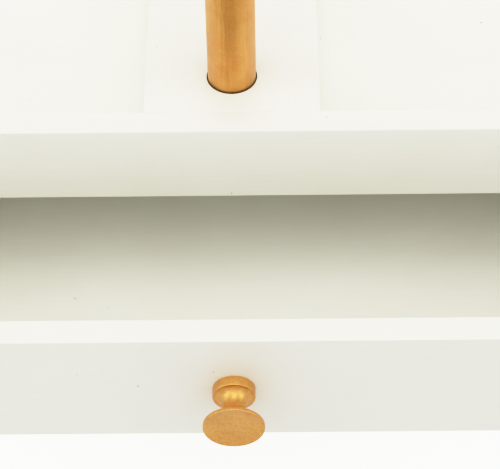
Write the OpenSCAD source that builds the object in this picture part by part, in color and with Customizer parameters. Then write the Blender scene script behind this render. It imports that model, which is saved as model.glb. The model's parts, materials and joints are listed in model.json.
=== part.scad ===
// Jewellery chest: a painted wooden case with two inset drawers, an open tray in its top
// and two metal T-bars that stand on the block between the tray's two wells.
// Millimetres. +Z is up, -Y is the front, and the origin is the middle of the underside.

/* [Case] */
// Overall width of the case
case_w = 300; // [220:1:420]
// Overall depth of the case
case_d = 190; // [150:1:260]
// Thickness of the case's boards
board_t = 9; // [7:0.5:12]
// Thickness of the back panel
back_t = 3; // [2:0.5:5]
// Width of the rabbet that holds each side of the back panel
rabbet_w = 4.5; // [3:0.5:6]
// Thickness of the felt under the case
felt_t = 1.5; // [1:0.1:3]
// Distance from the case's edge to the felt's edge
felt_inset = 5; // [2:0.5:15]

/* [Top tray] */
// Depth of the two wells below the rim
well_depth = 14; // [8:0.5:30]
// Thickness of the tray's floor
tray_floor_t = 6; // [4:0.5:8]
// How far the floor goes into the groove round it
tray_groove = 3; // [2:0.5:4]
// Room for bolt heads between the tray's floor and the upper drawer
bolt_room = 11; // [8:0.5:30]
// Width of the rails that keep the upper drawer from tipping
kicker_w = 12; // [8:0.5:24]
// Width of the block that carries the posts
block_w = 58; // [40:1:90]

/* [Drawers] */
// Height of a drawer's front
front_h = 49; // [36:1:70]
// Thickness of a drawer's front
front_t = 9; // [7:0.5:12]
// Thickness of a drawer's sides and back
side_t = 6; // [5:0.5:8]
// How far the sides stay below the front's top edge
side_drop = 3; // [0:0.5:10]
// Depth of the rabbets in the front that the sides fit into
front_rabbet = 5; // [3:0.5:6]
// Thickness of a drawer's floor
floor_t = 3; // [2:0.5:4]
// Height of a drawer's floor above what the drawer runs on
floor_lift = 4; // [3:0.5:8]
// How far a drawer's floor goes into its grooves
floor_groove = 3; // [2:0.5:4]
// How far the upper drawer stands open
upper_pull = 61; // [0:1:100]
// How far the lower drawer stands open
lower_pull = 0; // [0:1:100]

/* [Knobs] */
// Diameter of the knob's disc
knob_d = 20; // [16:0.5:26]
// Diameter of the knob's base ring
knob_base_d = 14; // [11:0.5:18]
// Diameter of the knob's neck
knob_neck_d = 8; // [6:0.5:10]
// How far up from the ring to the disc the knob is narrowest, as a share
knob_neck_at = 0.35; // [0.25:0.05:0.6]
// Reach of the knob in front of the drawer
knob_reach = 16; // [14:0.5:22]
// Thickness of the base ring
knob_base_t = 3.75; // [2:0.25:5]
// Thickness of the disc's rim
knob_rim_t = 1.4; // [1:0.1:3]

/* [T-bars] */
// Diameter of the posts
post_d = 16; // [12:0.5:20]
// Wall of the posts
post_wall = 1.5; // [1:0.1:2]
// Distance from the case's front or back face to a post's axis
post_setback = 25.5; // [22:0.5:50]
// Height of the front bar's axis above the case
front_bar_h = 130; // [80:1:200]
// Height of the rear bar's axis above the case
rear_bar_h = 255; // [160:1:340]
// Length of the post above its bar's axis
post_over_bar = 12; // [10:0.5:20]
// Diameter of the bars
bar_d = 12; // [8:0.5:14]
// Wall of the bars
bar_wall = 1; // [0.8:0.1:1.5]
// Length of the front bar
front_bar_w = 190; // [120:1:260]
// Length of the rear bar
rear_bar_w = 250; // [160:1:340]
// Diameter of the caps on the ends of the bars
cap_d = 18; // [15:0.5:24]
// Thickness of the caps
cap_t = 3.5; // [2.5:0.25:6]
// Length of a cap's spigot in the bar
cap_spigot = 10; // [6:0.5:14]
// Height of the dome on top of a post
dome_h = 4; // [2:0.5:7]
// Length of the dome's spigot in the post
dome_spigot = 4; // [2:0.5:4]
// Length of the threaded plug in a post's foot
plug_h = 22; // [16:1:30]

/* [Fasteners] */
// Thread of the bolt that holds a post
bolt_d = 6; // [5:1:8]
// Diameter of that bolt's head
bolt_head_d = 11; // [9:0.5:13]
// Height of that bolt's head
bolt_head_h = 4; // [3:0.5:5]
// How far the bolt goes into the plug
bolt_grip = 14; // [8:1:16]
// Diameter of the washer under the head
washer_d = 18; // [14:0.5:24]
// Thickness of the washer
washer_t = 1.2; // [0.8:0.1:2]
// Thread of the knob's screw
screw_d = 4; // [3:0.5:5]
// Diameter of the knob screw's head
screw_head_d = 8; // [7:0.5:10]
// Height of the knob screw's head
screw_head_h = 2.6; // [2:0.1:3]
// How far the knob's screw goes into the knob
screw_grip = 8; // [5:0.5:10]
// Thread of the set screw that holds a bar in its post
set_screw_d = 4; // [3:0.5:5]
// Diameter of a brad's shank
brad_d = 1.2; // [1:0.1:2]
// Diameter of a brad's head
brad_head_d = 2.4; // [2.2:0.1:3]
// Thickness of a brad's head
brad_head_t = 0.5; // [0.4:0.1:0.8]
// Length of a brad
brad_l = 14; // [10:1:20]
// Diameter of the case's dowels
dowel_d = 4; // [3:0.5:5]
// Length of a dowel
dowel_l = 20; // [14:1:30]
// How far a dowel goes into a side of the case
dowel_in_side = 6; // [4:0.5:6]
// Distance of the dowels from the case's front and back
dowel_setback = 30; // [20:1:50]

/* [Clearances] */
// Gap between a drawer and each side of the case
gap_side = 1; // [0.5:0.1:2]
// Running gap under a drawer's sides
gap_run = 0.3; // [0.2:0.05:0.6]
// Gap above a drawer's front
gap_top = 1.2; // [0.6:0.1:2]
// Gap below a drawer's front
gap_bottom = 0.8; // [0.4:0.1:2]
// Gap behind a closed drawer
gap_back = 0.5; // [0.3:0.1:2]
// Gap all round a post in its hole in the block
gap_post = 0.4; // [0.3:0.1:1.5]
// Gap between a panel's edge and its groove
gap_groove = 0.1; // [0.05:0.05:0.3]
// Gap round a screw, bolt, brad, plug or spigot in the hole that grips it
gap_fit = 0.05; // [0.02:0.01:0.1]
// Gap round a screw or bolt in a hole that it only passes through
gap_pass = 0.25; // [0.1:0.05:0.5]

/* [Hidden] */

$fn = 64;
bite = 1;            // how far a cutting shape runs past the face that it opens
edge_soft = 0.4;     // rounding on the edges of turned metal pieces
edge_steps = 4;      // steps round such an edge
curve_steps = 10;    // steps along a larger turned curve
cove_lean = 20;      // angle at which the knob's cove leaves its ring
brad_low = 0.2;      // places of a pair of brads, as shares of the height that they hold
brad_high = 0.8;

paint = [0.96, 0.95, 0.92];
raw_wood = [0.93, 0.91, 0.86];
gold = [0.83, 0.62, 0.32];
steel = [0.72, 0.72, 0.7];
felt = [0.78, 0.76, 0.72];

inner_w = case_w - 2 * board_t;
bay_h = gap_bottom + front_h + gap_top;
bottom_z = felt_t;
lower_bay_z = bottom_z + board_t;
divider_z = lower_bay_z + bay_h;
upper_bay_z = divider_z + board_t;
tray_z = upper_bay_z + bay_h;
tray_under_z = tray_z + bolt_room;
well_z = tray_under_z + tray_floor_t;
case_top = well_z + well_depth;
front_y = -case_d / 2;
back_y = case_d / 2;

drawer_w = inner_w - 2 * gap_side;
drawer_d = case_d - back_t - gap_back;
side_y = front_t - front_rabbet;
side_top = gap_bottom + front_h - side_drop;
floor_top = floor_lift + floor_t;
knob_z = gap_bottom + front_h / 2;

front_post_y = front_y + post_setback;
rear_post_y = back_y - post_setback;

// ---- shapes used by several pieces ----

// A block that is centred across X, with its front face at y and its underside at z
module board(size, y, z) {
    translate([-size[0] / 2, y, z]) cube(size);
}

// A round bar along Y that starts at y = 0
module along_y(d, l) {
    rotate([-90, 0, 0]) cylinder(d = d, h = l);
}

// A round bar along X, centred
module along_x(d, l) {
    rotate([0, 90, 0]) cylinder(d = d, h = l, center = true);
}

// Points of an arc about a centre
function arc(centre, r, from, to, steps = edge_steps) =
    [for (k = [0:steps]) let (a = from + (to - from) * k / steps)
        [centre[0] + r * cos(a), centre[1] + r * sin(a)]];

// ---- case ----

module base_felt() {
    color(felt)
        board([case_w - 2 * felt_inset, case_d - 2 * felt_inset, felt_t],
              front_y + felt_inset, 0);
}

module bottom_panel() {
    color(paint) difference() {
        board([inner_w, case_d - back_t, board_t], front_y, bottom_z);
        brad_pilots();
        dowel_holes();
    }
}

module drawer_divider() {
    color(paint) difference() {
        board([inner_w, case_d - back_t, board_t], front_y, divider_z);
        brad_pilots();
        dowel_holes();
    }
}

// The side that faces -X when side is -1 and +X when it is 1
module side_panel(side) {
    inner_x = inner_w / 2;
    color(paint) difference() {
        translate([side < 0 ? -case_w / 2 : inner_x, front_y, bottom_z])
            cube([board_t, case_d, case_top - bottom_z]);
        // rabbet for the back panel
        translate([side < 0 ? -inner_x - rabbet_w : inner_x - bite, back_y - back_t, bottom_z - bite])
            cube([rabbet_w + bite, back_t + bite, tray_z - bottom_z + bite]);
        tray_groove_cut();
        brad_pilots();
        dowel_holes();
    }
}

module back_panel() {
    color(raw_wood) difference() {
        board([inner_w + 2 * (rabbet_w - gap_groove), back_t, tray_z - bottom_z],
              back_y - back_t, bottom_z);
        for (p = brad_places) translate([p[0], back_y - back_t - bite, p[1]])
            along_y(brad_d + 2 * gap_fit, back_t + 2 * bite);
        for (p = brad_places) translate([p[0], back_y - brad_head_t, p[1]])
            along_y(brad_head_d + 2 * gap_fit, brad_head_t + bite);
    }
}

// Brads: three up each side, and three into the rear edge of the bottom panel and the divider
brad_x = inner_w / 2 + (rabbet_w - gap_groove) / 2;
brad_side_z = [lower_bay_z + bay_h / 2, upper_bay_z + bay_h * brad_low,
               upper_bay_z + bay_h * brad_high];
brad_places = concat(
    [for (s = [-1, 1], z = brad_side_z) [s * brad_x, z]],
    [for (x = [-1, 0, 1], z = [bottom_z, divider_z]) [x * inner_w / 3, z + board_t / 2]]);

module brad_pilots() {
    for (p = brad_places) translate([p[0], back_y - brad_l - bite, p[1]])
        along_y(brad_d + 2 * gap_fit, brad_l + bite);
}

module back_panel_brads() {
    color(steel) for (p = brad_places) translate([p[0], back_y, p[1]]) union() {
        translate([0, -brad_head_t, 0]) along_y(brad_head_d, brad_head_t);
        translate([0, -brad_l, 0]) along_y(brad_d, brad_l);
    }
}

// Dowels at each end of the bottom panel, the divider and the tray's walls: [y, z]
dowel_places = concat(
    [for (y = [front_y + dowel_setback, back_y - dowel_setback], z = [bottom_z, divider_z])
        [y, z + board_t / 2]],
    [for (y = [front_y + board_t / 2, back_y - board_t / 2],
          z = [tray_z + bolt_room / 2, case_top - well_depth / 2]) [y, z]]);
dowel_end_x = inner_w / 2 + dowel_in_side;

module dowels(gap) {
    for (p = dowel_places, s = [-1, 1])
        translate([s * (dowel_end_x - dowel_l / 2), p[0], p[1]])
            along_x(dowel_d + 2 * gap, dowel_l + 2 * gap);
}

module case_dowels() {
    color(raw_wood) dowels(0);
}

module dowel_holes() {
    dowels(gap_fit);
}

// ---- top tray ----

// The space that the tray's floor takes in the boards round it
module tray_groove_cut() {
    reach = tray_groove + gap_groove;
    board([inner_w + 2 * reach, case_d - 2 * board_t + 2 * reach, tray_floor_t + 2 * gap_groove],
          front_y + board_t - reach, tray_under_z - gap_groove);
}

module tray_wall(y) {
    color(paint) difference() {
        board([inner_w, board_t, case_top - tray_z], y, tray_z);
        tray_groove_cut();
        dowel_holes();
    }
}

module tray_floor() {
    color(paint) difference() {
        board([inner_w + 2 * tray_groove, case_d - 2 * board_t + 2 * tray_groove, tray_floor_t],
              front_y + board_t - tray_groove, tray_under_z);
        for (y = [front_post_y, rear_post_y]) translate([0, y, tray_under_z - bite])
            cylinder(d = bolt_d + 2 * gap_pass, h = tray_floor_t + 2 * bite);
    }
}

module post_block() {
    color(paint) difference() {
        board([block_w, case_d - 2 * board_t, well_depth], front_y + board_t, well_z);
        for (y = [front_post_y, rear_post_y]) translate([0, y, well_z - bite])
            cylinder(d = post_d + 2 * gap_post, h = well_depth + 2 * bite);
    }
}

module drawer_kicker(side) {
    x = inner_w / 2 - kicker_w / 2;
    color(raw_wood) translate([side * x, 0, 0])
        board([kicker_w, case_d - 2 * board_t, bolt_room], front_y + board_t, tray_z);
}

// ---- T-bars: y is the post's place, and h the bar's height above the case ----

module post(y, h) {
    bar_z = case_top + h;
    foot_d = post_d - 2 * post_wall;
    color(gold) difference() {
        translate([0, y, well_z]) cylinder(d = post_d, h = bar_z + post_over_bar - well_z);
        translate([0, y, well_z - bite])
            cylinder(d = foot_d, h = bar_z + post_over_bar - well_z + 2 * bite);
        translate([0, y, bar_z]) along_x(bar_d + 2 * gap_fit, post_d + 2 * bite);
        translate([0, y, bar_z]) along_y(set_screw_d + 2 * gap_fit, post_d);
    }
}

module post_plug(y) {
    color(steel) translate([0, y, well_z]) difference() {
        cylinder(d = post_d - 2 * post_wall - 2 * gap_fit, h = plug_h);
        translate([0, 0, -bite]) cylinder(d = bolt_d + 2 * gap_fit, h = bolt_grip + 2 * bite);
    }
}

module post_bolt(y) {
    head_z = tray_under_z - washer_t - bolt_head_h;
    key = bolt_d * 2 / 3;
    color(steel) translate([0, y, head_z]) difference() {
        union() {
            rotate_extrude() polygon(concat([[0, 0]],
                [[bolt_head_d / 2 - edge_soft, 0], [bolt_head_d / 2, edge_soft]],
                [[bolt_head_d / 2, bolt_head_h], [0, bolt_head_h]]));
            cylinder(d = bolt_d, h = bolt_head_h + washer_t + tray_floor_t + bolt_grip);
        }
        translate([0, 0, -bite]) cylinder(d = key, h = bolt_head_h / 2 + bite, $fn = 6);
    }
}

module post_washer(y) {
    color(steel) translate([0, y, tray_under_z - washer_t]) difference() {
        cylinder(d = washer_d, h = washer_t);
        translate([0, 0, -bite]) cylinder(d = bolt_d + 2 * gap_pass, h = washer_t + 2 * bite);
    }
}

module post_dome(y, h) {
    ball_r = (post_d * post_d / 4 + dome_h * dome_h) / (2 * dome_h);
    edge_a = acos(post_d / 2 / ball_r);
    color(gold) translate([0, y, case_top + h + post_over_bar]) rotate_extrude()
        polygon(concat([[0, -dome_spigot]],
            [[post_d / 2 - post_wall - gap_fit, -dome_spigot], [post_d / 2 - post_wall - gap_fit, 0]],
            arc([0, dome_h - ball_r], ball_r, edge_a, 90, curve_steps)));
}

module bar(y, h, w) {
    color(gold) translate([0, y, case_top + h]) difference() {
        along_x(bar_d, w);
        along_x(bar_d - 2 * bar_wall, w + 2 * bite);
    }
}

module bar_cap(y, h, w, side) {
    r = cap_d / 2;
    spigot_r = bar_d / 2 - bar_wall - gap_fit;
    soft = cap_t / 3;
    color(gold) translate([side * w / 2, y, case_top + h]) rotate([0, side * 90, 0]) rotate_extrude()
        polygon(concat([[0, -cap_spigot], [spigot_r, -cap_spigot], [spigot_r, 0]],
            arc([r - edge_soft, edge_soft], edge_soft, -90, 0),
            arc([r - soft, cap_t - soft], soft, 0, 90), [[0, cap_t]]));
}

// Drives against the bar from behind the post
module bar_set_screw(y, h) {
    key = set_screw_d / 2;
    color(steel) translate([0, y + bar_d / 2, case_top + h]) difference() {
        along_y(set_screw_d, post_d / 2 - bar_d / 2);
        translate([0, post_d / 2 - bar_d / 2 - key / 2, 0]) rotate([-90, 0, 0])
            cylinder(d = key, h = key, $fn = 6);
    }
}

// ---- drawers: drawn with the front's face at y = 0 and the board below at z = 0 ----

module in_bay(bay_z, pull) {
    translate([0, front_y - pull, bay_z]) children();
}

module upper() {
    in_bay(upper_bay_z, upper_pull) children();
}

module lower() {
    in_bay(lower_bay_z, lower_pull) children();
}

// The space that a drawer's floor takes in the boards round it
module floor_groove_cut() {
    reach = floor_groove + gap_groove;
    board([drawer_w - 2 * side_t + 2 * reach, drawer_d - side_t - front_t + 2 * reach,
           floor_t + 2 * gap_groove], front_t - reach, floor_lift - gap_groove);
}

// Brads through the sides into the front and the back: [y, z]
drawer_brad_places = [for (y = [front_t - front_rabbet / 2, drawer_d - side_t / 2],
                           t = [brad_low, brad_high]) [y, floor_top + (side_top - floor_top) * t]];

// A brad along X for each place, with its head outwards and its holes wider by gap
module drawer_brad_set(gap, past) {
    for (p = drawer_brad_places, s = [-1, 1])
        translate([s * drawer_w / 2, p[0], p[1]]) rotate([0, -90 * s, 0]) union() {
            translate([0, 0, -past]) cylinder(d = brad_head_d + 2 * gap, h = brad_head_t + past);
            cylinder(d = brad_d + 2 * gap, h = brad_l);
        }
}

module drawer_brads() {
    color(steel) drawer_brad_set(0, 0);
}

module drawer_front() {
    color(paint) difference() {
        board([drawer_w, front_t, front_h], 0, gap_bottom);
        for (s = [-1, 1]) translate([s * (drawer_w / 2 - side_t / 2 + bite / 2), 0, 0])
            board([side_t + bite, front_rabbet + bite, front_h + 2 * bite], side_y, gap_bottom - bite);
        floor_groove_cut();
        drawer_brad_set(gap_fit, bite);
        translate([0, -bite, knob_z]) along_y(screw_d + 2 * gap_pass, front_t + 2 * bite);
    }
}

module drawer_side(side) {
    color(paint) difference() {
        translate([side * (drawer_w / 2 - side_t / 2), 0, 0])
            board([side_t, drawer_d - side_y, side_top - gap_run], side_y, gap_run);
        floor_groove_cut();
        drawer_brad_set(gap_fit, bite);
    }
}

module drawer_back() {
    color(paint) difference() {
        board([drawer_w - 2 * side_t, side_t, side_top - gap_run], drawer_d - side_t, gap_run);
        floor_groove_cut();
        drawer_brad_set(gap_fit, bite);
    }
}

module drawer_floor() {
    color(paint)
        board([drawer_w - 2 * side_t + 2 * floor_groove,
               drawer_d - side_t - front_t + 2 * floor_groove, floor_t],
              front_t - floor_groove, floor_lift);
}

// Base ring, hollow neck and flat disc, drawn up from the drawer's face
module knob() {
    disc_r = knob_d / 2;
    base_r = knob_base_d / 2;
    neck_r = knob_neck_d / 2;
    disc_z = knob_reach - knob_rim_t;
    neck_z = knob_base_t + knob_neck_at * (disc_z - knob_base_t);
    cove_rise = (neck_z - knob_base_t) / cos(cove_lean);
    cove_in = (base_r - edge_soft - neck_r) / (1 - sin(cove_lean));
    flare_rise = disc_z - neck_z;
    flare_out = disc_r - edge_soft - neck_r;
    profile = concat([[0, 0], [base_r, 0]],
        arc([base_r - edge_soft, knob_base_t - edge_soft], edge_soft, 0, 90),
        [for (k = [1:curve_steps]) let (a = cove_lean + (90 - cove_lean) * k / curve_steps)
            [neck_r + cove_in * (1 - sin(a)), neck_z - cove_rise * cos(a)]],
        [for (k = [1:curve_steps]) let (a = 90 * k / curve_steps)
            [neck_r + flare_out * (1 - cos(a)), neck_z + flare_rise * sin(a)]],
        arc([disc_r - edge_soft, disc_z + edge_soft], edge_soft, -90, 0),
        arc([disc_r - edge_soft, knob_reach - edge_soft], edge_soft, 0, 90),
        [[0, knob_reach]]);
    color(gold) translate([0, 0, knob_z]) rotate([90, 0, 0]) difference() {
        rotate_extrude() polygon(profile);
        translate([0, 0, -bite]) cylinder(d = screw_d + 2 * gap_fit, h = screw_grip + 2 * bite);
    }
}

// Driven from inside the drawer, with a round head that has a cross recess
module knob_screw() {
    recess_l = screw_head_d / 2;
    recess_w = screw_d / 4;
    soft = screw_head_h / 2;
    color(steel) translate([0, front_t + screw_head_h, knob_z]) rotate([90, 0, 0]) difference() {
        union() {
            rotate_extrude() polygon(concat([[0, 0]],
                arc([screw_head_d / 2 - soft, soft], soft, -90, 0),
                [[screw_head_d / 2, screw_head_h], [0, screw_head_h]]));
            cylinder(d = screw_d, h = screw_head_h + front_t + screw_grip);
        }
        for (a = [0, 90]) rotate([0, 0, a]) translate([-recess_l / 2, -recess_w / 2, -bite])
            cube([recess_l, recess_w, recess_w + bite]);
    }
}

// ---- nodes ----

base_felt();
bottom_panel();
side_panel(-1);  // side_panel_left
side_panel(1);  // side_panel_right
drawer_divider();
back_panel();
back_panel_brads();
case_dowels();
tray_wall(front_y);  // tray_front_wall
tray_wall(back_y - board_t);  // tray_back_wall
tray_floor();
post_block();
drawer_kicker(-1);  // drawer_kicker_left
drawer_kicker(1);  // drawer_kicker_right

post(front_post_y, front_bar_h);  // front_post
post_plug(front_post_y);  // front_post_plug
post_bolt(front_post_y);  // front_post_bolt
post_washer(front_post_y);  // front_post_washer
post_dome(front_post_y, front_bar_h);  // front_post_dome
bar(front_post_y, front_bar_h, front_bar_w);  // front_bar
bar_cap(front_post_y, front_bar_h, front_bar_w, -1);  // front_bar_cap_left
bar_cap(front_post_y, front_bar_h, front_bar_w, 1);  // front_bar_cap_right
bar_set_screw(front_post_y, front_bar_h);  // front_bar_set_screw

post(rear_post_y, rear_bar_h);  // rear_post
post_plug(rear_post_y);  // rear_post_plug
post_bolt(rear_post_y);  // rear_post_bolt
post_washer(rear_post_y);  // rear_post_washer
post_dome(rear_post_y, rear_bar_h);  // rear_post_dome
bar(rear_post_y, rear_bar_h, rear_bar_w);  // rear_bar
bar_cap(rear_post_y, rear_bar_h, rear_bar_w, -1);  // rear_bar_cap_left
bar_cap(rear_post_y, rear_bar_h, rear_bar_w, 1);  // rear_bar_cap_right
bar_set_screw(rear_post_y, rear_bar_h);  // rear_bar_set_screw

upper() drawer_front();  // upper_drawer_front
upper() drawer_side(-1);  // upper_drawer_side_left
upper() drawer_side(1);  // upper_drawer_side_right
upper() drawer_back();  // upper_drawer_back
upper() drawer_floor();  // upper_drawer_floor
upper() drawer_brads();  // upper_drawer_brads
upper() knob();  // upper_knob
upper() knob_screw();  // upper_knob_screw

lower() drawer_front();  // lower_drawer_front
lower() drawer_side(-1);  // lower_drawer_side_left
lower() drawer_side(1);  // lower_drawer_side_right
lower() drawer_back();  // lower_drawer_back
lower() drawer_floor();  // lower_drawer_floor
lower() drawer_brads();  // lower_drawer_brads
lower() knob();  // lower_knob
lower() knob_screw();  // lower_knob_screw
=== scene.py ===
"""Looks of the jewellery chest: lacquered boards with eased edges, gold posts, bars and knobs,
plated fastenings and a felt foot, on a pale lit table.

Lengths are in millimetres where a name or a comment says so, and in metres otherwise.
"""
import json
import math
import random

import bmesh
import bpy
from mathutils import Matrix, Vector


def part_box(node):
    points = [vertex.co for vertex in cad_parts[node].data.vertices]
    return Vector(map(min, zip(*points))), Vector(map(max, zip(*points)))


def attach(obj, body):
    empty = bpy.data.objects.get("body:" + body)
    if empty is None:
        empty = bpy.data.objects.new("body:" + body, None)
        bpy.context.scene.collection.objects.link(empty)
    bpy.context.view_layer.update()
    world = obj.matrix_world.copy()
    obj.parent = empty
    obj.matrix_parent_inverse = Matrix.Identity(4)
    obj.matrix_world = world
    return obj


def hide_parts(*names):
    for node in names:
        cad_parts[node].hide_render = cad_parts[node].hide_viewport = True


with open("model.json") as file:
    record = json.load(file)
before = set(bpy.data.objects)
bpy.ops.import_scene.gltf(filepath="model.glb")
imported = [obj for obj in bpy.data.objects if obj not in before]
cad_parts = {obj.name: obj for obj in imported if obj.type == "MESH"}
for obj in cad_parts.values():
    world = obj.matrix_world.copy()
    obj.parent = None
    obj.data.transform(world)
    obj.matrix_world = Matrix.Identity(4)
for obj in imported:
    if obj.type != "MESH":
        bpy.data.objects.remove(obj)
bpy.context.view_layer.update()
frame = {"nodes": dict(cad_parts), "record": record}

MM = 0.001
scene = bpy.context.scene
record = frame["record"]
BODY = {node: body for body, nodes in record["behaviour"]["bodies"].items() for node in nodes}

# The middle of the case's top front edge: the camera and the lights are placed from it
rim_low, rim_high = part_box("tray_front_wall")
RIM = Vector((0, rim_low.y, rim_high.z))


# ---- camera ----

CAMERA_FROM_RIM = Vector((10.5, -452.3, 461.7)) * MM
CAMERA_DOWN, CAMERA_TURN, CAMERA_ROLL = (math.radians(a) for a in (48.55, -0.65, -1.01))
LENS = 143.9


def add_camera():
    data = bpy.data.cameras.new("camera")
    data.lens = LENS
    data.clip_start = 0.01
    camera = bpy.data.objects.new("camera", data)
    scene.collection.objects.link(camera)
    turn = Matrix.Rotation(-CAMERA_TURN, 4, "Z")
    tilt = Matrix.Rotation(math.pi / 2 - CAMERA_DOWN, 4, "X")
    roll = Matrix.Rotation(CAMERA_ROLL, 4, "Z")
    camera.matrix_world = Matrix.Translation(RIM + CAMERA_FROM_RIM) @ turn @ tilt @ roll
    scene.camera = camera


# ---- node trees ----

NOISE, CELLS, WAVE = "ShaderNodeTexNoise", "ShaderNodeTexVoronoi", "ShaderNodeTexWave"
COORDINATES, MAPPING = "ShaderNodeTexCoord", "ShaderNodeMapping"
AXES, CHANNELS = "ShaderNodeSeparateXYZ", "ShaderNodeSeparateColor"
RANGE, MATH, MIX, BUMP = "ShaderNodeMapRange", "ShaderNodeMath", "ShaderNodeMix", "ShaderNodeBump"


def hue(code):
    """An sRGB hex colour as the linear colour that a shader takes."""
    parts = [int(code[i : i + 2], 16) / 255 for i in (1, 3, 5)]
    return (*(c / 12.92 if c <= 0.04045 else ((c + 0.055) / 1.055) ** 2.4 for c in parts), 1)


def add(tree, kind, inputs=None, out=0, **settings):
    """Adds a node, sets it, fills its inputs with values or links, and gives an output."""
    node = tree.nodes.new(kind)
    for name, value in settings.items():
        setattr(node, name, value)
    for name, value in (inputs or {}).items():
        if isinstance(value, bpy.types.NodeSocket):
            tree.links.new(value, node.inputs[name])
        else:
            node.inputs[name].default_value = value
    return node.outputs[out]


def start_finish(name):
    """A new material: its tree, its shader's inputs, and Object coordinates in millimetres."""
    material = bpy.data.materials.new(name)
    material.use_nodes = True
    tree = material.node_tree
    place = add(tree, COORDINATES, out="Object")
    in_mm = add(tree, MAPPING, {"Vector": place, "Scale": (1 / MM, 1 / MM, 1 / MM)})
    return material, tree, tree.nodes["Principled BSDF"].inputs, in_mm


# How far a pattern is drawn out along each axis
LENGTHWISE = {"x": (1 / 22, 1, 1), "y": (1, 1 / 22, 1), "z": (1, 1, 1 / 14)}


# ---- finishes ----

BRUSH_LINE = 0.8      # mm between the marks of a brush's bristles
LEVELLING = 1.7       # mm across the slight ripple of a lacquer that has levelled
COAT_PATCH = 38       # mm across a thicker or thinner patch of the coat
DUST_SPACING = 6.2    # mm between the places where a speck of dust may have settled


def ivory_lacquer(along):
    """Satin ivory lacquer, brushed and rolled over primed MDF. It gives soft, wide highlights, a
    creamier tone where boards light each other, faint lines along each board, and rare specks."""
    material, tree, shader, mm = start_finish(f"ivory_satin_lacquer_{along}")
    drawn = add(tree, MAPPING, {"Vector": mm, "Scale": LENGTHWISE[along]})
    lines = {"Vector": drawn, "Scale": 1 / BRUSH_LINE, "Detail": 3, "Roughness": 0.6}
    lines = add(tree, NOISE, lines)
    patch = add(tree, NOISE, {"Vector": mm, "Scale": 1 / COAT_PATCH, "Detail": 2})
    patch = add(tree, RANGE, {"Value": patch, "From Min": 0.35, "From Max": 0.65})
    coat = add(tree, MIX, {0: patch, 6: hue("#F1F0E2"), 7: hue("#F4F3E6")}, 2, data_type="RGBA")
    streak = add(tree, RANGE, {"Value": lines, "From Min": 0.3, "From Max": 0.7, "To Max": 0.32})
    coat = add(tree, MIX, {0: streak, 6: coat, 7: hue("#EAE8D9")}, 2, data_type="RGBA")
    # A speck sits in a few of the cells, each of its own size, up to 0.9 mm across
    cell = add(tree, CELLS, {"Vector": mm, "Scale": 1 / DUST_SPACING}).node.outputs
    chance = add(tree, CHANNELS, {"Color": cell["Color"]})
    reach = add(tree, RANGE, {"Value": chance, "From Min": 0.8, "To Max": 0.07})
    speck = add(tree, MATH, {0: reach, 1: cell["Distance"]}, operation="GREATER_THAN")
    speck = add(tree, MATH, {0: speck, 1: 0.75}, operation="MULTIPLY")
    coat = add(tree, MIX, {0: speck, 6: coat, 7: hue("#A58B66")}, 2, data_type="RGBA")
    tree.links.new(coat, shader["Base Color"])
    sheen = add(tree, RANGE, {"Value": patch, "To Min": 0.38, "To Max": 0.46})
    tree.links.new(sheen, shader["Roughness"])
    ripple = add(tree, NOISE, {"Vector": mm, "Scale": 1 / LEVELLING, "Detail": 2})
    ripple = add(tree, BUMP, {"Height": ripple, "Distance": 0.02 * MM})
    marks = add(tree, BUMP, {"Height": lines, "Distance": 0.025 * MM, "Normal": ripple})
    tree.links.new(marks, shader["Normal"])
    return material


FUR = 0.6             # mm across a tuft of torn fibre


def scorched_mdf():
    """Bare MDF where the drill scorched it, inside the post holes: brown, furry and dead matt."""
    material, tree, shader, mm = start_finish("scorched_mdf")
    fur = add(tree, NOISE, {"Vector": mm, "Scale": 1 / FUR, "Detail": 4})
    tone = add(tree, MIX, {0: fur, 6: hue("#5A3118"), 7: hue("#A86A38")}, 2, data_type="RGBA")
    tree.links.new(tone, shader["Base Color"])
    shader["Roughness"].default_value = 0.9
    torn = add(tree, BUMP, {"Height": fur, "Distance": 0.2 * MM})
    tree.links.new(torn, shader["Normal"])
    return material


THIRSTY_PATCH = 14    # mm across a patch where the board drinks the paint
PRESSED_GRAIN = 1.2   # mm across the pressed grain of hardboard


def sprayed_hardboard():
    """Hardboard with one thin coat of ivory: flat, a shade browner where the board drinks it, and
    with the fine grain that the press leaves."""
    material, tree, shader, mm = start_finish("sprayed_hardboard")
    thirst = {"Vector": mm, "Scale": 1 / THIRSTY_PATCH, "Detail": 5, "Roughness": 0.65}
    thirst = add(tree, NOISE, thirst)
    thirst = add(tree, RANGE, {"Value": thirst, "From Min": 0.4, "From Max": 0.7})
    tone = add(tree, MIX, {0: thirst, 6: hue("#EEECE0"), 7: hue("#E9E5D6")}, 2, data_type="RGBA")
    tree.links.new(tone, shader["Base Color"])
    shader["Roughness"].default_value = 0.62
    pressed = add(tree, NOISE, {"Vector": mm, "Scale": 1 / PRESSED_GRAIN, "Detail": 2})
    pressed = add(tree, BUMP, {"Height": pressed, "Distance": 0.08 * MM})
    tree.links.new(pressed, shader["Normal"])
    return material


STREAK = 1.3          # mm between the lighter and darker streaks of brushed gold
GRIT = 0.45           # mm across the grains of flake, drawn coarser than life so that they show
THIN_PATCH = 7        # mm across a patch where the flake lies thin
CHIP_SPACING = 6      # mm between the places where the gold may be chipped
PAINTED_SHADE_CORE, PAINTED_SHADE_EDGE = 0.5, 3.4     # mm from a post's middle: full painted shade, and none
PAINTED_SHADE_FRAY = 9         # mm that the streaks pull the painted shade's edges about
PAINTED_SHADE_FADE = (2, 16)   # mm above the block over which the painted shade comes in


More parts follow.
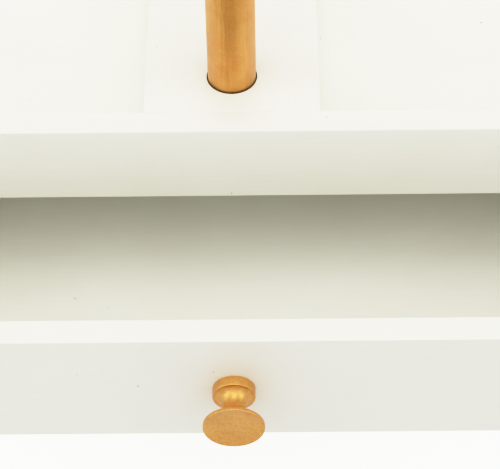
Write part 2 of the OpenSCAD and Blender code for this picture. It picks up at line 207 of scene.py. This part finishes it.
def gold_lacquer(name, dark, along=None, painted_shade=0.0, gloss=0.0):
    """Gold flake lacquer, brushed over metal. It gives a grainy, broken glow rather than a mirror,
    with streaks along the piece and a browner tone where the flake lies thin. Up the middle of a
    post's front and back, a darker streak is painted in as shade for the darker reflection seen
    there. It grows stronger above the block, and is as strong as its own argument says."""
    material, tree, shader, mm = start_finish(name)
    drawn = add(tree, MAPPING, {"Vector": mm, "Scale": LENGTHWISE.get(along, (1, 1, 1))})
    streak = {"Vector": drawn, "Scale": 1 / STREAK, "Detail": 5, "Roughness": 0.65}
    streak = add(tree, NOISE, streak)
    grit = add(tree, NOISE, {"Vector": mm, "Scale": 1 / GRIT, "Detail": 3, "Roughness": 0.75})
    patch = add(tree, NOISE, {"Vector": mm, "Scale": 1 / THIN_PATCH, "Detail": 3})
    thin = add(tree, RANGE, {"Value": patch, "From Min": 0.4, "From Max": 0.7, "To Max": 0.6})
    tone = add(tree, MIX, {0: thin, 6: hue("#E0A858"), 7: hue("#D28D40")}, 2, data_type="RGBA")
    brown = add(tree, RANGE, {"Value": streak, "From Min": 0.45, "From Max": 0.75, "To Max": dark})
    tone = add(tree, MIX, {0: brown, 6: tone, 7: hue("#A86727")}, 2, data_type="RGBA")
    if painted_shade:
        # Painted shade: a darker streak up the middle of the post's front and back, standing in
        # for the darker reflection there, that frays at its edges
        fray = {0: streak, 1: PAINTED_SHADE_FRAY, 2: -PAINTED_SHADE_FRAY / 2}
        fray = add(tree, MATH, fray, operation="MULTIPLY_ADD")
        sideways = add(tree, AXES, {"Vector": mm}, "X")
        across = add(tree, MATH, {0: sideways, 1: fray}, operation="ADD")
        painted_shade_mask = {
            "Value": add(tree, MATH, {0: across}, operation="ABSOLUTE"),
            "From Min": PAINTED_SHADE_CORE, "From Max": PAINTED_SHADE_EDGE, "To Min": painted_shade, "To Max": 0.0,
        }
        painted_shade_mask = add(tree, RANGE, painted_shade_mask)
        start, full = (RIM.z / MM + above for above in PAINTED_SHADE_FADE)
        height = add(tree, AXES, {"Vector": mm}, "Z")
        rise = {"Value": height, "From Min": start, "From Max": full, "To Min": 0.3}
        painted_shade_mask = add(tree, MATH, {0: painted_shade_mask, 1: add(tree, RANGE, rise)}, operation="MULTIPLY")
        # Mixes in the darker gold of the painted shade
        tone = add(tree, MIX, {0: painted_shade_mask, 6: tone, 7: hue("#B5701C")}, 2, data_type="RGBA")
    flake = add(tree, RANGE, {"Value": grit, "From Min": 0.54, "From Max": 0.7, "To Max": 0.55})
    tone = add(tree, MIX, {0: flake, 6: tone, 7: hue("#F0CE8A")}, 2, data_type="RGBA")
    # A few of the cells carry a chip, down to the dark undercoat
    cell = add(tree, CELLS, {"Vector": mm, "Scale": 1 / CHIP_SPACING}).node.outputs
    chance = add(tree, CHANNELS, {"Color": cell["Color"]})
    reach = add(tree, RANGE, {"Value": chance, "From Min": 0.55, "To Max": 0.07})
    chip = add(tree, MATH, {0: reach, 1: cell["Distance"]}, operation="GREATER_THAN")
    tone = add(tree, MIX, {0: chip, 6: tone, 7: hue("#7A5A44")}, 2, data_type="RGBA")
    tree.links.new(tone, shader["Base Color"])
    shader["Metallic"].default_value = 1.0
    shader["Coat Weight"].default_value = 0.12
    shader["Coat Roughness"].default_value = 0.3
    rough = {"From Min": 0.3, "From Max": 0.7, "To Min": 0.36 - gloss, "To Max": 0.56 - gloss}
    rough = add(tree, RANGE, {"Value": grit, **rough})
    tree.links.new(rough, shader["Roughness"])
    sand = add(tree, BUMP, {"Height": grit, "Distance": 0.05 * MM})
    brushed = add(tree, BUMP, {"Height": streak, "Distance": 0.05 * MM, "Normal": sand})
    tree.links.new(brushed, shader["Normal"])
    return material


CLOUD = 1.8           # mm across a cloud in barrel-plated zinc


def zinc_steel():
    """Zinc-plated steel wire and bar, barrel plated: cool grey with a slightly clouded shine."""
    material, tree, shader, mm = start_finish("zinc_plated_steel")
    cloud = add(tree, NOISE, {"Vector": mm, "Scale": 1 / CLOUD, "Detail": 3})
    tone = add(tree, MIX, {0: cloud, 6: hue("#B4B7B9"), 7: hue("#DADAD6")}, 2, data_type="RGBA")
    tree.links.new(tone, shader["Base Color"])
    shader["Metallic"].default_value = 1.0
    rough = add(tree, RANGE, {"Value": cloud, "To Min": 0.24, "To Max": 0.42})
    tree.links.new(rough, shader["Roughness"])
    return material


GROWTH_WAVE = 24      # mm; a diagonal wave of this scale draws its lines 15 mm apart


def planed_pine():
    """Bare planed pine: pale and dry, with wide growth lines that wander along the rail."""
    material, tree, shader, mm = start_finish("planed_pine")
    drawn = add(tree, MAPPING, {"Vector": mm, "Scale": (1, 1 / 16, 1)})
    rings = {"Vector": drawn, "Scale": 1 / GROWTH_WAVE, "Distortion": 3.0, "Detail": 3}
    rings = add(tree, WAVE, rings, bands_direction="DIAGONAL")
    tone = add(tree, MIX, {0: rings, 6: hue("#E3C392"), 7: hue("#C79A62")}, 2, data_type="RGBA")
    tree.links.new(tone, shader["Base Color"])
    shader["Roughness"].default_value = 0.65
    raised = add(tree, BUMP, {"Height": rings, "Distance": 0.06 * MM})
    tree.links.new(raised, shader["Normal"])
    return material


FIBRE, CLUMP = 0.8, 6  # mm across a tangle of fibres, and a clump of them


def needled_felt():
    """Needle-punched polyester felt: warm grey, matt, matted flat, with loose pale fibres."""
    material, tree, shader, mm = start_finish("needled_felt")
    fibre = {"Vector": mm, "Scale": 1 / FIBRE, "Detail": 5, "Roughness": 0.8, "Distortion": 1.2}
    fibre = add(tree, NOISE, fibre)
    clump = add(tree, NOISE, {"Vector": mm, "Scale": 1 / CLUMP, "Detail": 2})
    tone = add(tree, MIX, {0: clump, 6: hue("#A59F94"), 7: hue("#C3BDB2")}, 2, data_type="RGBA")
    pale = add(tree, RANGE, {"Value": fibre, "From Min": 0.55, "From Max": 0.72, "To Max": 0.7})
    tone = add(tree, MIX, {0: pale, 6: tone, 7: hue("#E2DED5")}, 2, data_type="RGBA")
    tree.links.new(tone, shader["Base Color"])
    shader["Roughness"].default_value = 0.95
    shader["Sheen Weight"].default_value = 0.35
    matted = add(tree, BUMP, {"Height": fibre, "Distance": 0.3 * MM})
    tree.links.new(matted, shader["Normal"])
    return material


LACQUER = {along: ivory_lacquer(along) for along in "xy"}
SCORCHED = scorched_mdf()
HARDBOARD = sprayed_hardboard()
# The posts carry painted shade: a darker streak up the middle of their front and back
POST_GOLD = gold_lacquer("gold_lacquer_posts", dark=0.4, along="z", painted_shade=0.5)
BAR_GOLD = gold_lacquer("gold_lacquer_bars", dark=0.35, along="x")
KNOB_GOLD = gold_lacquer("gold_lacquer_knobs", dark=0.45, gloss=0.06)
ZINC = zinc_steel()
PINE = planed_pine()
FELT = needled_felt()


# ---- making pieces ----

CREASE, TURNED_CREASE, FELT_CREASE = 32, 30, 60     # degrees at which an edge shades sharp
WELD = 0.002          # mm within which points are one
ONE_PLANE = 0.5       # degrees within which faces lie in one plane


def show(name, mesh, material):
    piece = bpy.data.objects.new(name, mesh)
    scene.collection.objects.link(piece)
    mesh.materials.clear()
    mesh.materials.append(material)
    return piece


def fix_shape(piece):
    """Turns what a piece's modifiers make into its own plain mesh."""
    bpy.context.view_layer.update()
    piece.data = bpy.data.meshes.new_from_object(
        piece.evaluated_get(bpy.context.evaluated_depsgraph_get())
    )
    piece.modifiers.clear()


def smooth(piece, crease=CREASE):
    """Shades a piece smooth, apart from edges sharper than crease degrees."""
    piece.data.shade_smooth()
    piece.data.set_sharp_from_angle(angle=math.radians(crease))


def stand_for(piece, node):
    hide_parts(node)
    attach(piece, BODY[node])


def copied(node):
    """A CAD node's shape as one joined surface, with its flat faces whole again."""
    shape = bmesh.new()
    shape.from_mesh(frame["nodes"][node].data)
    bmesh.ops.remove_doubles(shape, verts=shape.verts, dist=WELD * MM)
    bmesh.ops.dissolve_limit(
        shape, angle_limit=math.radians(ONE_PLANE), verts=shape.verts, edges=shape.edges
    )
    return shape


def ease(piece, width_mm, steps=3):
    """Rounds the edges that carry a bevel weight."""
    bevel = piece.modifiers.new("eased edges", "BEVEL")
    bevel.limit_method = "WEIGHT"
    bevel.width = width_mm * MM
    bevel.segments = steps
    fix_shape(piece)
    smooth(piece)


# ---- boards ----

EDGE = 0.45           # mm, the round that sanding and lacquer leave on a free edge
SEAM = 0.14           # mm, the hollow that lacquer leaves over a joint
CORNER = 40           # degrees, the least turn of a board's edge that is eased
FACET = 2             # mm; shorter edges are the facets of a round hole
TOUCH = 0.05          # mm within which boards meet
HOLE_ROOM = 1.2       # mm round a post that its hole's wall lies within
HOLE_TILT = 0.6       # the most that a face of the hole's wall looks up or down
LEVELS = ("upper", "lower")
DRAWER_PARTS = ("front", "back", "floor", "side_left", "side_right")
CASE_BOARDS = [
    "bottom_panel", "drawer_divider", "side_panel_left", "side_panel_right", "back_panel",
    "tray_front_wall", "tray_back_wall", "tray_floor", "post_block",
    "drawer_kicker_left", "drawer_kicker_right",
]
BOARDS = CASE_BOARDS + [f"{level}_drawer_{part}" for level in LEVELS for part in DRAWER_PARTS]


def board_finish(board):
    if board == "back_panel":
        return HARDBOARD
    if "kicker" in board:
        return PINE
    return LACQUER["y" if "side" in board or board == "post_block" else "x"]


def meets_another(point, board):
    """Whether a point of a board lies on or in another board of the same body."""
    near = TOUCH * MM
    for other in BOARDS:
        if other != board and BODY[other] == BODY[board]:
            low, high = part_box(other)
            if all(low[i] - near <= point[i] <= high[i] + near for i in range(3)):
                return True
    return False


def cut_at_block(shape):
    """Splits a tray wall's edges where the block meets it, so that each stretch is eased alike."""
    for x in (corner.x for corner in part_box("post_block")):
        everything = [*shape.verts, *shape.edges, *shape.faces]
        bmesh.ops.bisect_plane(shape, geom=everything, plane_co=(x, 0, 0), plane_no=(1, 0, 0))


def add_board(board):
    shape = copied(board)
    if board in ("tray_front_wall", "tray_back_wall"):
        cut_at_block(shape)
    weight = shape.edges.layers.float.new("bevel_weight_edge")
    for edge in shape.edges:
        if len(edge.link_faces) == 2 and edge.calc_length() > FACET * MM:
            if edge.calc_face_angle_signed(0) > math.radians(CORNER):
                middle = (edge.verts[0].co + edge.verts[1].co) / 2
                edge[weight] = SEAM / EDGE if meets_another(middle, board) else 1.0
    mesh = bpy.data.meshes.new(board)
    shape.to_mesh(mesh)
    shape.free()
    piece = show(f"{board}_finished", mesh, board_finish(board))
    ease(piece, EDGE)
    if board == "post_block":
        scorch_post_holes(piece)
    stand_for(piece, board)


def scorch_post_holes(block):
    """Leaves the walls of the two post holes bare below the lacquered rim."""
    block.data.materials.append(SCORCHED)
    for post in ("front_post", "rear_post"):
        low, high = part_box(post)
        axis = (low + high) / 2
        reach = (high.x - low.x) / 2 + HOLE_ROOM * MM
        for face in block.data.polygons:
            away = Vector((face.center.x - axis.x, face.center.y - axis.y))
            if away.length < reach and abs(face.normal.z) < HOLE_TILT:
                face.material_index = 1


# ---- turned pieces ----

TURN_STEPS, PIN_STEPS = 96, 20
SLIVER = 0.001        # mm, the longest edge of a sliver at a pole


def turning_tree():
    """Geometry Nodes that turn an outline, x out from the axis and z along it, into a solid."""
    tree = bpy.data.node_groups.new("turned_solid", "GeometryNodeTree")
    tree.interface.new_socket("Outline", in_out="INPUT", socket_type="NodeSocketGeometry")
    tree.interface.new_socket("Steps", in_out="INPUT", socket_type="NodeSocketInt")
    tree.interface.new_socket("Finish", in_out="INPUT", socket_type="NodeSocketMaterial")
    tree.interface.new_socket("Solid", in_out="OUTPUT", socket_type="NodeSocketGeometry")
    given = tree.nodes.new("NodeGroupInput").outputs
    size = {"Geometry": given["Outline"]}
    count = add(tree, "GeometryNodeAttributeDomainSize", size, "Point Count")
    columns = add(tree, MATH, {0: given["Steps"], 1: 1}, operation="ADD")
    grid = add(tree, "GeometryNodeMeshGrid", {"Vertices X": columns, "Vertices Y": count}, "Mesh")
    index = add(tree, "GeometryNodeInputIndex")
    row = add(tree, MATH, {0: index, 1: count}, operation="MODULO")
    column = add(tree, MATH, {0: index, 1: count}, operation="DIVIDE")
    column = add(tree, MATH, {0: column}, operation="FLOOR")
    share = add(tree, MATH, {0: column, 1: given["Steps"]}, operation="DIVIDE")
    angle = add(tree, MATH, {0: share, 1: 2 * math.pi}, operation="MULTIPLY")
    place = add(tree, "GeometryNodeInputPosition")
    point = {"Geometry": given["Outline"], "Value": place, "Index": row}
    point = add(tree, "GeometryNodeSampleIndex", point, data_type="FLOAT_VECTOR")
    turned = {"Vector": point, "Angle": angle}
    turned = add(tree, "ShaderNodeVectorRotate", turned, rotation_type="Z_AXIS")
    solid = add(tree, "GeometryNodeSetPosition", {"Geometry": grid, "Position": turned})
    solid = add(tree, "GeometryNodeMergeByDistance", {"Geometry": solid, "Distance": WELD * MM})
    solid = add(tree, "GeometryNodeRealizeInstances", {"Geometry": solid})
    solid = add(tree, "GeometryNodeSetMaterial", {"Geometry": solid, "Material": given["Finish"]})
    tree.links.new(solid, tree.nodes.new("NodeGroupOutput").inputs["Solid"])
    return tree


TURNING = turning_tree()


def arc(centre, radius, start, end, steps=6):
    """Points of an arc in an outline, with its angles in degrees."""
    angles = [math.radians(start + (end - start) * k / steps) for k in range(steps + 1)]
    return [(centre[0] + radius * math.cos(a), centre[1] + radius * math.sin(a)) for a in angles]


def turn(name, outline, finish, stand=Matrix.Identity(4), steps=TURN_STEPS):
    """A solid turned from an outline in mm, from the axis back to the axis, stood in place."""
    chain = bpy.data.meshes.new(name)
    points = [(r * MM, 0, z * MM) for r, z in outline]
    chain.from_pydata(points, [(i, i + 1) for i in range(len(points) - 1)], [])
    piece = bpy.data.objects.new(name, chain)
    scene.collection.objects.link(piece)
    turning = piece.modifiers.new("turning", "NODES")
    turning.node_group = TURNING
    for item in TURNING.interface.items_tree:
        if item.name == "Steps":
            turning[item.identifier] = steps
        if item.name == "Finish":
            turning[item.identifier] = finish
    fix_shape(piece)
    shape = bmesh.new()
    shape.from_mesh(piece.data)
    bmesh.ops.dissolve_degenerate(shape, edges=shape.edges, dist=SLIVER * MM)
    bmesh.ops.recalc_face_normals(shape, faces=shape.faces)
    bmesh.ops.transform(shape, matrix=stand, verts=shape.verts)
    shape.to_mesh(piece.data)
    shape.free()
    smooth(piece, TURNED_CREASE)
    return piece


# Knob: a base ring, a waisted neck and a flat disc with a soft rim, in mm from the drawer's face
RING_D, RING_T = 14.0, 3.75
NECK_D = 8.0
NECK_AT = 0.35        # where the knob is narrowest, as a share of the way from ring to disc
COVE_LEAN = 20        # degrees at which the cove leaves the ring
RIM_T = 1.4
SCREW_D, SCREW_DEPTH = 4.1, 8.0
DRILL_POINT = 1.0     # how much deeper the middle of the screw's hole goes
RING_FOOT = 0.2       # the small chamfer where the ring meets the drawer
RING_SOFT, RIM_SOFT = 0.3, 0.35
RING_DISH = 0.15      # how far the ring is hollowed inside its lip
FACE_DISH = 0.3       # how far the disc's face lies below its rim
FACE_RIM = 0.95       # how far inside the disc's edge its face starts
COVE_STEPS = 16


def knob_outline(disc_d, reach):
    ring_r, neck_r, disc_r = RING_D / 2, NECK_D / 2, disc_d / 2
    disc_z = reach - RIM_T
    neck_z = RING_T + NECK_AT * (disc_z - RING_T)
    lean = math.radians(COVE_LEAN)
    lip_r = ring_r - 2 * RING_SOFT
    cove_in = (lip_r - neck_r) / (1 - math.sin(lean))
    cove_rise = (neck_z - RING_T + RING_DISH) / math.cos(lean)
    quarter = [math.radians(90 * k / COVE_STEPS) for k in range(1, COVE_STEPS + 1)]
    return [
        (0, SCREW_DEPTH + DRILL_POINT), (SCREW_D / 2, SCREW_DEPTH), (SCREW_D / 2, 0),
        (ring_r - RING_FOOT, 0), (ring_r, RING_FOOT),
        *arc((ring_r - RING_SOFT, RING_T - RING_SOFT), RING_SOFT, 0, 110),
        *((neck_r + cove_in * (1 - math.sin(a)), neck_z - cove_rise * math.cos(a))
          for a in quarter if a > lean),
        *((neck_r + (disc_r - RIM_SOFT - neck_r) * (1 - math.cos(a)),
           neck_z + (disc_z - neck_z) * math.sin(a)) for a in quarter),
        *arc((disc_r - RIM_SOFT, disc_z + RIM_SOFT), RIM_SOFT, -80, 0),
        *arc((disc_r - RIM_SOFT, reach - RIM_SOFT), RIM_SOFT, 0, 100, 8),
        # The dished face rises again a little towards its middle
        (disc_r - FACE_RIM, reach - FACE_DISH), (disc_r / 2, reach - FACE_DISH * 0.9),
        (0, reach - FACE_DISH * 0.8),
    ]


def add_knob(node):
    low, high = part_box(node)
    disc_d, reach = (high.x - low.x) / MM, (high.y - low.y) / MM
    middle = (low + high) / 2
    stand = Matrix.Translation((middle.x, high.y, middle.z)) @ Matrix.Rotation(math.pi / 2, 4, "X")
    stand_for(turn(f"{node}_turned", knob_outline(disc_d, reach), KNOB_GOLD, stand), node)


# Post domes and bar caps, in mm
POST_BORE, BAR_BORE = 13.0, 10.0
DOME_SPIGOT, CAP_SPIGOT = 4.0, 10.0
DOME_LEAD, CAP_LEAD = 0.3, 0.4      # chamfers that lead the spigots in
DOME_BRIM = 0.15      # how far the dome's curve starts inside the post's outside
CAP_SOFT = 0.45
TUBE_GAP = 0.05       # round a spigot in its tube


def add_dome(node):
    """The dome on a post: a shallow cap with a spigot that fits the post's bore."""
    low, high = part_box(node)
    radius = (high.x - low.x) / 2 / MM
    rise = (high.z - low.z) / MM - DOME_SPIGOT
    ball = (radius * radius + rise * rise) / (2 * rise)
    edge = math.degrees(math.acos(radius / ball))
    spigot = POST_BORE / 2 - TUBE_GAP
    outline = [
        (0, -DOME_SPIGOT), (spigot - DOME_LEAD, -DOME_SPIGOT),
        (spigot, DOME_LEAD - DOME_SPIGOT), (spigot, 0),
        (radius - DOME_BRIM, 0), *arc((0, rise - ball), ball, edge + 1, 90, 24),
    ]
    middle = (low + high) / 2
    stand = Matrix.Translation((middle.x, middle.y, low.z + DOME_SPIGOT * MM))
    stand_for(turn(f"{node}_turned", outline, POST_GOLD, stand), node)


def add_cap(node):
    """The cap on a bar's end: a button with a softly rounded face and a spigot in the bar."""
    low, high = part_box(node)
    radius = (high.z - low.z) / 2 / MM
    thick = (high.x - low.x) / MM - CAP_SPIGOT
    soft = thick / 3
    spigot = BAR_BORE / 2 - TUBE_GAP
    outline = [
        (0, -CAP_SPIGOT), (spigot - CAP_LEAD, -CAP_SPIGOT),
        (spigot, CAP_LEAD - CAP_SPIGOT), (spigot, 0),
        *arc((radius - CAP_SOFT, CAP_SOFT), CAP_SOFT, -90, 0),
        *arc((radius - soft, thick - soft), soft, 0, 90, 10), (0, thick),
    ]
    middle = (low + high) / 2
    side = 1 if middle.x > 0 else -1
    inner = high.x - thick * MM if side > 0 else low.x + thick * MM
    facing = Matrix.Rotation(side * math.pi / 2, 4, "Y")
    stand = Matrix.Translation((inner, middle.y, middle.z)) @ facing
    stand_for(turn(f"{node}_turned", outline, BAR_GOLD, stand), node)


# ---- brads and dowels ----


def setting_tree():
    """Geometry Nodes that set a copy of a pin at each point, turned along the point's heading."""
    tree = bpy.data.node_groups.new("pins_set", "GeometryNodeTree")
    tree.interface.new_socket("Places", in_out="INPUT", socket_type="NodeSocketGeometry")
    tree.interface.new_socket("Pin", in_out="INPUT", socket_type="NodeSocketObject")
    tree.interface.new_socket("Finish", in_out="INPUT", socket_type="NodeSocketMaterial")
    tree.interface.new_socket("Pins", in_out="OUTPUT", socket_type="NodeSocketGeometry")
    given = tree.nodes.new("NodeGroupInput").outputs
    pin = add(tree, "GeometryNodeObjectInfo", {"Object": given["Pin"]}, "Geometry")
    heading = {"Name": "heading"}
    heading = add(tree, "GeometryNodeInputNamedAttribute", heading, data_type="FLOAT_VECTOR")
    turn_to = add(tree, "FunctionNodeAlignRotationToVector", {"Vector": heading}, axis="Z")
    set_pins = add(
        tree, "GeometryNodeInstanceOnPoints",
        {"Points": given["Places"], "Instance": pin, "Rotation": turn_to},
    )
    real = add(tree, "GeometryNodeRealizeInstances", {"Geometry": set_pins})
    real = add(tree, "GeometryNodeSetMaterial", {"Geometry": real, "Material": given["Finish"]})
    tree.links.new(real, tree.nodes.new("NodeGroupOutput").inputs["Pins"])
    return tree


SETTING = setting_tree()

# Outlines in mm, from the outer end inwards
BRAD = [
    (0, 0), (0.85, 0.03), (1.12, 0.14), (1.2, 0.3), (1.17, 0.5), (0.6, 0.5), (0.6, 12.2), (0, 14),
]
DOWEL = [(0, 0), (1.5, 0), (2, 0.6), (2, 19.4), (1.5, 20), (0, 20)]


def separate_solids(node):
    """The boxes of a node's separate solids, as (lowest corner, highest corner)."""
    shape = copied(node)
    seen = set()
    boxes = []
    # The solids come in the order of their first points, so that each run sets the pins alike
    for first in shape.verts:
        if first in seen:
            continue
        seen.add(first)
        reached = [first]
        for vert in reached:
            for edge in vert.link_edges:
                other = edge.other_vert(vert)
                if other not in seen:
                    seen.add(other)
                    reached.append(other)
        corners = list(zip(*(vert.co for vert in reached)))
        boxes.append((Vector(map(min, corners)), Vector(map(max, corners))))
    shape.free()
    return boxes


def set_pins(node, outline, finish):
    """Sets a turned pin where each of a node's solids is, with its head at the outer end."""
    whole_low, whole_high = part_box(node)
    centre = (whole_low + whole_high) / 2
    starts, headings = [], []
    for low, high in separate_solids(node):
        size = high - low
        axis = max(range(3), key=lambda i: size[i])
        middle = (low + high) / 2
        inwards = -1 if middle[axis] > centre[axis] or node == "back_panel_brads" else 1
        heading = Vector([inwards if i == axis else 0 for i in range(3)])
        starts.append(middle - heading * size[axis] / 2)
        headings.append(heading)
    places = bpy.data.meshes.new(node)
    places.from_pydata(starts, [], [])
    places.attributes.new("heading", "FLOAT_VECTOR", "POINT").data.foreach_set(
        "vector", [c for heading in headings for c in heading]
    )
    pin = turn(f"{node}_pin", outline, finish, steps=PIN_STEPS)
    piece = bpy.data.objects.new(f"{node}_set", places)
    scene.collection.objects.link(piece)
    setting = piece.modifiers.new("setting", "NODES")
    setting.node_group = SETTING
    for item in SETTING.interface.items_tree:
        if item.name == "Pin":
            setting[item.identifier] = pin
        if item.name == "Finish":
            setting[item.identifier] = finish
    fix_shape(piece)
    smooth(piece)
    bpy.data.objects.remove(pin)
    stand_for(piece, node)


# ---- tubes and threaded pieces ----

TUBE_EASE, SCREW_EASE = 0.25, 0.12  # mm, the deburred round on a tube's end and a screw's edge
CUT_EDGE = 50         # degrees, the least turn of a metal edge that is deburred


def add_metal(node, finish, width_mm=TUBE_EASE):
    """A CAD metal piece with its cut edges deburred."""
    shape = copied(node)
    weight = shape.edges.layers.float.new("bevel_weight_edge")
    for edge in shape.edges:
        if len(edge.link_faces) == 2 and edge.calc_face_angle_signed(0) > math.radians(CUT_EDGE):
            edge[weight] = 1.0
    mesh = bpy.data.meshes.new(node)
    shape.to_mesh(mesh)
    shape.free()
    piece = show(f"{node}_deburred", mesh, finish)
    ease(piece, width_mm, steps=2)
    stand_for(piece, node)


# ---- felt ----

FELT_CELL = 3.0       # mm between the points of the felt's faces
FELT_FACE, FELT_WAIST = 0.35, 0.05  # mm that the cut edge stands in at the faces and between
FELT_FRAY = 0.25      # mm that the cut edge wanders
FELT_SINK = 0.12      # mm that the underside is matted unevenly


def add_felt():
    """The felt sheet under the case, flat where it is glued, with a cut edge that wanders."""
    low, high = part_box("base_felt")
    wander = random.Random(7)
    columns = round((high.x - low.x) / (FELT_CELL * MM))
    rows = round((high.y - low.y) / (FELT_CELL * MM))
    shape = bmesh.new()
    layers = []
    middle = (low.z + high.z) / 2
    for z in (low.z, middle, high.z):
        layer = {}
        for i in range(columns + 1):
            for j in range(rows + 1):
                rim = i in (0, columns) or j in (0, rows)
                if not rim and low.z < z < high.z:
                    continue
                x = low.x + (high.x - low.x) * i / columns
                y = low.y + (high.y - low.y) * j / rows
                if rim:
                    inset = FELT_WAIST if z == middle else FELT_FACE
                    inset += wander.random() * FELT_FRAY
                    x = min(max(x, low.x + inset * MM), high.x - inset * MM)
                    y = min(max(y, low.y + inset * MM), high.y - inset * MM)
                lift = wander.random() * FELT_SINK * MM if z == low.z and (i + j) % 3 else 0
                layer[i, j] = shape.verts.new((x, y, z + lift))
        layers.append(layer)
    under, waist, over = layers
    for i in range(columns):
        for j in range(rows):
            ring = [(i, j), (i + 1, j), (i + 1, j + 1), (i, j + 1)]
            shape.faces.new([over[at] for at in ring])
            shape.faces.new([under[at] for at in reversed(ring)])
    border = [(i, 0) for i in range(columns)] + [(columns, j) for j in range(rows)]
    border += [(i, rows) for i in range(columns, 0, -1)] + [(0, j) for j in range(rows, 0, -1)]
    for here, there in zip(border, border[1:] + border[:1]):
        shape.faces.new([under[here], under[there], waist[there], waist[here]])
        shape.faces.new([waist[here], waist[there], over[there], over[here]])
    bmesh.ops.recalc_face_normals(shape, faces=shape.faces)
    mesh = bpy.data.meshes.new("felt")
    shape.to_mesh(mesh)
    shape.free()
    piece = show("base_felt_cut", mesh, FELT)
    smooth(piece, FELT_CREASE)
    stand_for(piece, "base_felt")


# ---- table and light ----

# In metres
FLOOR_R, WALL_R, WALL_H = 2.4, 4.6, 7.0
INNER_R = 0.6
AIM = Vector((0, 0, 0.1))           # the point that the lamps face
SWEEP_SIDES, SWEEP_STEPS = 72, 15


def add_sweep():
    """A pale table that curves up into a wall all round. It shows the chest's soft shadow, glows
    a little, and leaves lighting the chest to the lamps and the room."""
    bend = WALL_R - FLOOR_R
    outline = [(INNER_R, 0), (FLOOR_R, 0)]
    for step in range(1, SWEEP_STEPS + 1):
        a = math.radians(90 * step / SWEEP_STEPS)
        outline.append((FLOOR_R + bend * math.sin(a), bend * (1 - math.cos(a))))
    outline.append((WALL_R, WALL_H))
    turns = [2 * math.pi * k / SWEEP_SIDES for k in range(SWEEP_SIDES)]
    points = [(0, 0, 0)]
    points += [(r * math.cos(a), r * math.sin(a), z) for r, z in outline for a in turns]
    pairs = [(k, (k + 1) % SWEEP_SIDES) for k in range(SWEEP_SIDES)]
    faces = [(0, 1 + k, 1 + after) for k, after in pairs]
    for inner in range(1, 1 + SWEEP_SIDES * (len(outline) - 1), SWEEP_SIDES):
        outer = inner + SWEEP_SIDES
        faces += [(inner + k, outer + k, outer + after, inner + after) for k, after in pairs]
    mesh = bpy.data.meshes.new("sweep")
    mesh.from_pydata(points, [], faces)
    mesh.shade_smooth()
    material, _, shader, _ = start_finish("pale_lit_table")
    shader["Base Color"].default_value = hue("#F3F3F1")
    shader["Roughness"].default_value = 0.8
    shader["Specular IOR Level"].default_value = 0.2
    shader["Emission Color"].default_value = hue("#FFFFFF")
    shader["Emission Strength"].default_value = 0.75
    sweep = show("sweep", mesh, material)
    sweep.visible_diffuse = sweep.visible_glossy = sweep.visible_shadow = False


def add_softbox(name, azimuth, elevation, size, power, distance=3.2):
    """A soft lamp aimed at the chest. Azimuth 0 is in front and 90 to the right, in degrees."""
    a, e = math.radians(azimuth), math.radians(elevation)
    away = Vector((math.sin(a) * math.cos(e), -math.cos(a) * math.cos(e), math.sin(e)))
    data = bpy.data.lights.new(name, "AREA")
    data.shape = "RECTANGLE"
    data.size, data.size_y = size
    data.energy = power
    lamp = bpy.data.objects.new(name, data)
    lamp.location = AIM + away * distance
    lamp.rotation_euler = (-away).to_track_quat("-Z", "Y").to_euler()
    lamp.visible_camera = False
    scene.collection.objects.link(lamp)


ROOM_ABOVE, ROOM_BELOW = 0.62, 0.97
HORIZON = (-0.1, 0.05)      # how far below and above level, of 1, the room's two halves blend


def add_light():
    """Softboxes overhead, in front, at the sides and behind, in a room whose lower half gives the
    light that a pale table would send up."""
    world = bpy.data.worlds.new("room")
    world.use_nodes = True
    tree = world.node_tree
    up = add(tree, AXES, {"Vector": add(tree, COORDINATES, out="Generated")}, "Z")
    low, high = HORIZON
    blend = {"From Min": low, "From Max": high, "To Min": ROOM_BELOW, "To Max": ROOM_ABOVE}
    strength = add(tree, RANGE, {"Value": up, **blend})
    room = tree.nodes["Background"].inputs
    room["Color"].default_value = hue("#FFFFFF")
    tree.links.new(strength, room["Strength"])
    scene.world = world
    add_softbox("overhead", 0, 88, (2.0, 2.0), 32)
    for side, turned in (("left", -1), ("right", 1)):
        add_softbox(f"front_{side}", turned * 32, 44, (1.5, 2.4), 14)
        add_softbox(f"side_{side}", turned * 80, 30, (2.0, 2.0), 29)
    add_softbox("back", 180, 25, (2.0, 2.0), 30)


ROLL_FROM, ROLL_END = 0.6, 2.4      # scene brightness where the roll-off starts and ends
ROLL_POINTS = (0.3, ROLL_FROM, 0.75, 0.9, 1.1, 1.4, 1.8)


def roll_off_highlights():
    """Lets the brightest tones roll off gently instead of clipping."""
    scene.view_settings.view_transform = "Standard"
    scene.view_settings.use_curve_mapping = True
    response = scene.view_settings.curve_mapping
    response.white_level = (ROLL_END, ROLL_END, ROLL_END)
    span = 1 - ROLL_FROM
    for bright in ROLL_POINTS:
        rolled = bright
        if bright > ROLL_FROM:
            rolled = 1 - span * math.exp((ROLL_FROM - bright) / span)
        response.curves[3].points.new(bright / ROLL_END, rolled)
    response.update()


# ---- build ----

add_camera()
for board in BOARDS:
    add_board(board)
for level in LEVELS:
    add_knob(f"{level}_knob")
    add_metal(f"{level}_knob_screw", ZINC, SCREW_EASE)
    set_pins(f"{level}_drawer_brads", BRAD, ZINC)
for row in ("front", "rear"):
    add_metal(f"{row}_post", POST_GOLD)
    add_metal(f"{row}_bar", BAR_GOLD)
    add_dome(f"{row}_post_dome")
    for side in ("left", "right"):
        add_cap(f"{row}_bar_cap_{side}")
    for fastening in ("post_plug", "post_bolt", "post_washer", "bar_set_screw"):
        add_metal(f"{row}_{fastening}", ZINC, SCREW_EASE)
set_pins("back_panel_brads", BRAD, ZINC)
set_pins("case_dowels", DOWEL, PINE)
add_felt()
add_sweep()
add_light()
roll_off_highlights()
